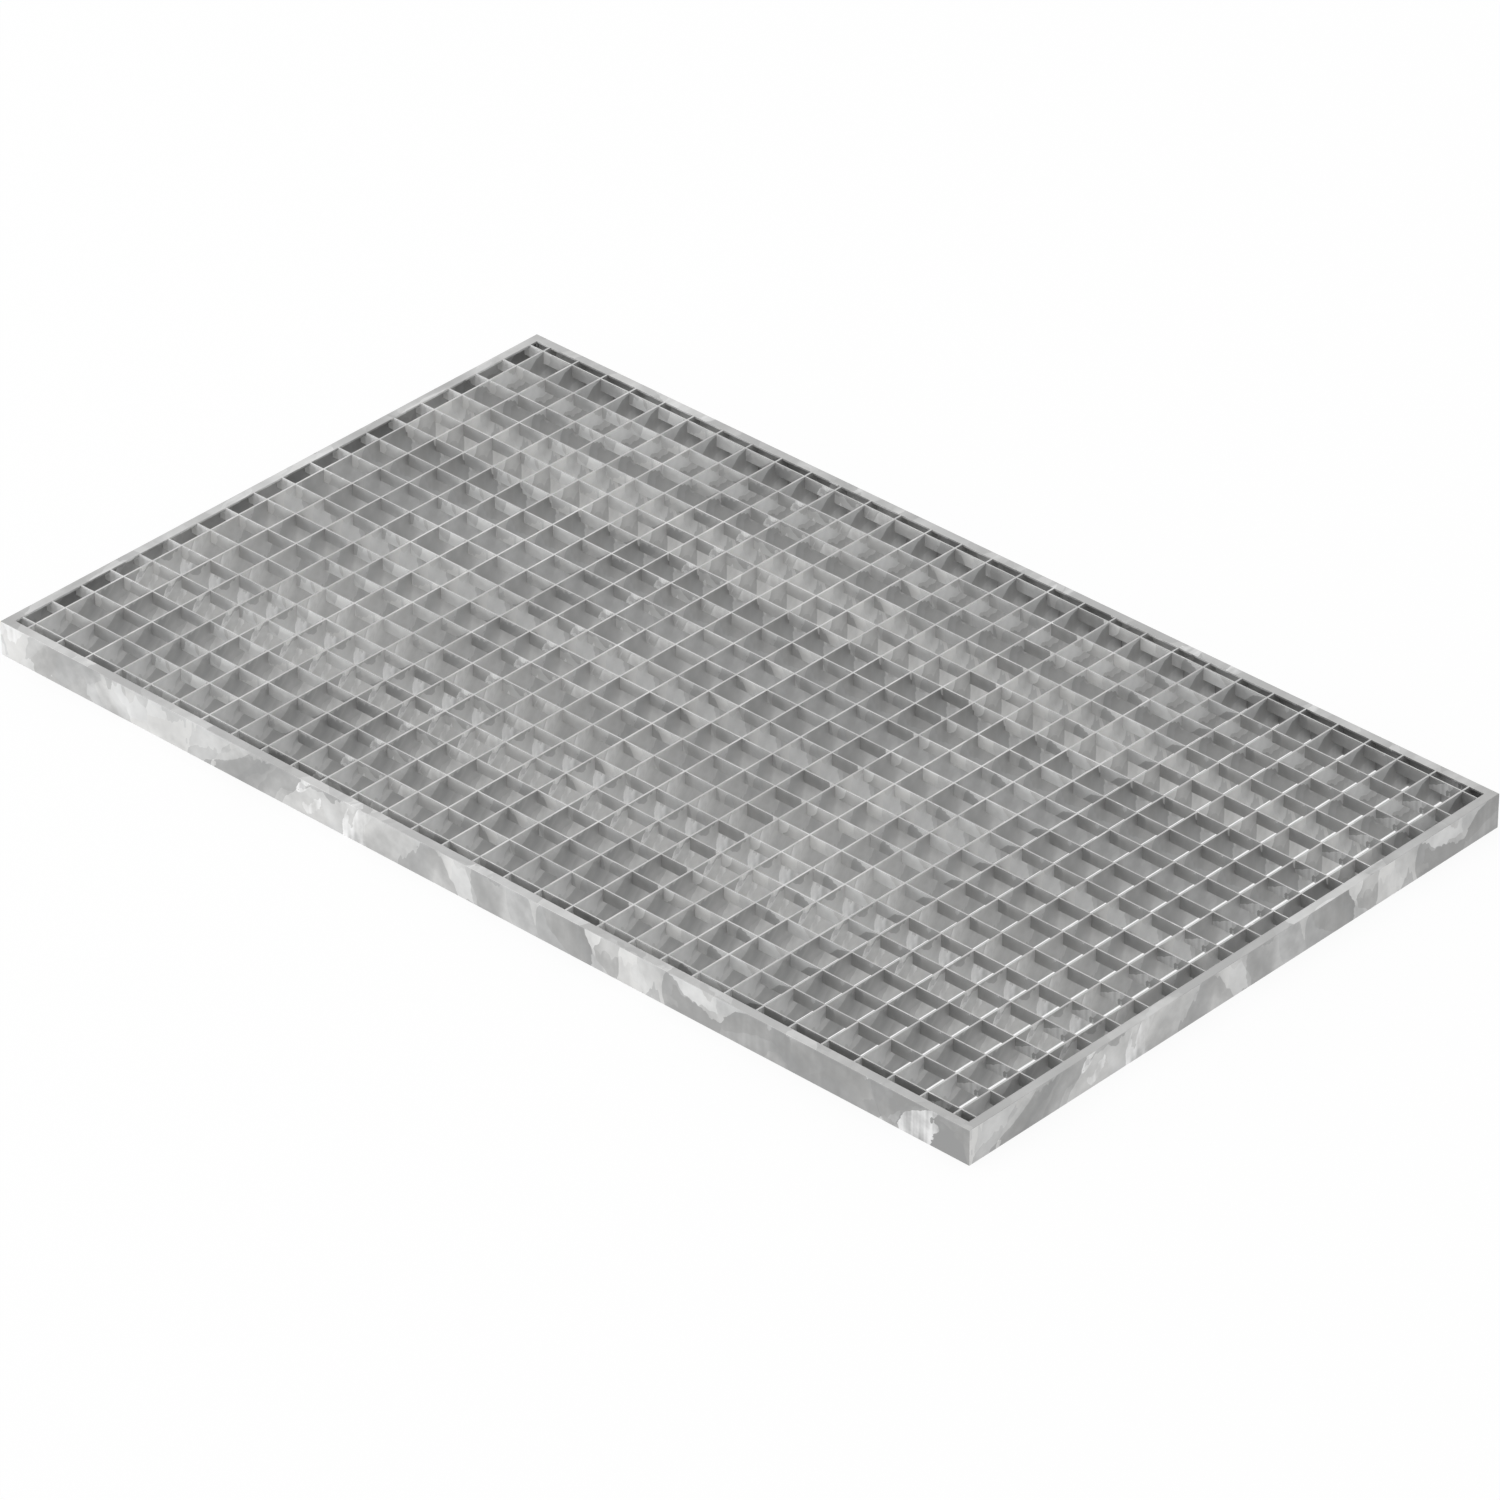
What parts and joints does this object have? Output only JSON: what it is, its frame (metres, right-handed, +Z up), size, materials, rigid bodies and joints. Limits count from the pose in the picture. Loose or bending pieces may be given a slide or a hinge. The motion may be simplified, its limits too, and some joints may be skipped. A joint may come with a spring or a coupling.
{
  "type": "steel grating panel",
  "caption": "Rectangular open-mesh steel grating panel: deep bearing bars, shallow cross bars and an L-section edging strip, hot-dip galvanised.",
  "frame": {"origin": "centre of the underside, where the panel rests on its ledge", "axes": "+X along the length and the cross bars, +Y along the width and the bearing bars, +Z up through the walking surface"},
  "size_m": [0.99, 0.59, 0.03],
  "materials": {
    "edging_zinc": "hot-dip galvanised, mottled dull zinc",
    "grid_zinc": "hot-dip galvanised, mottled dull zinc"
  },
  "bodies": {
    "root": {"edging_front": "edging_zinc", "edging_back": "edging_zinc", "edging_left": "edging_zinc", "edging_right": "edging_zinc", "grid_left": "grid_zinc", "grid_middle": "grid_zinc", "grid_right": "grid_zinc"}
  },
  "joints": []
}
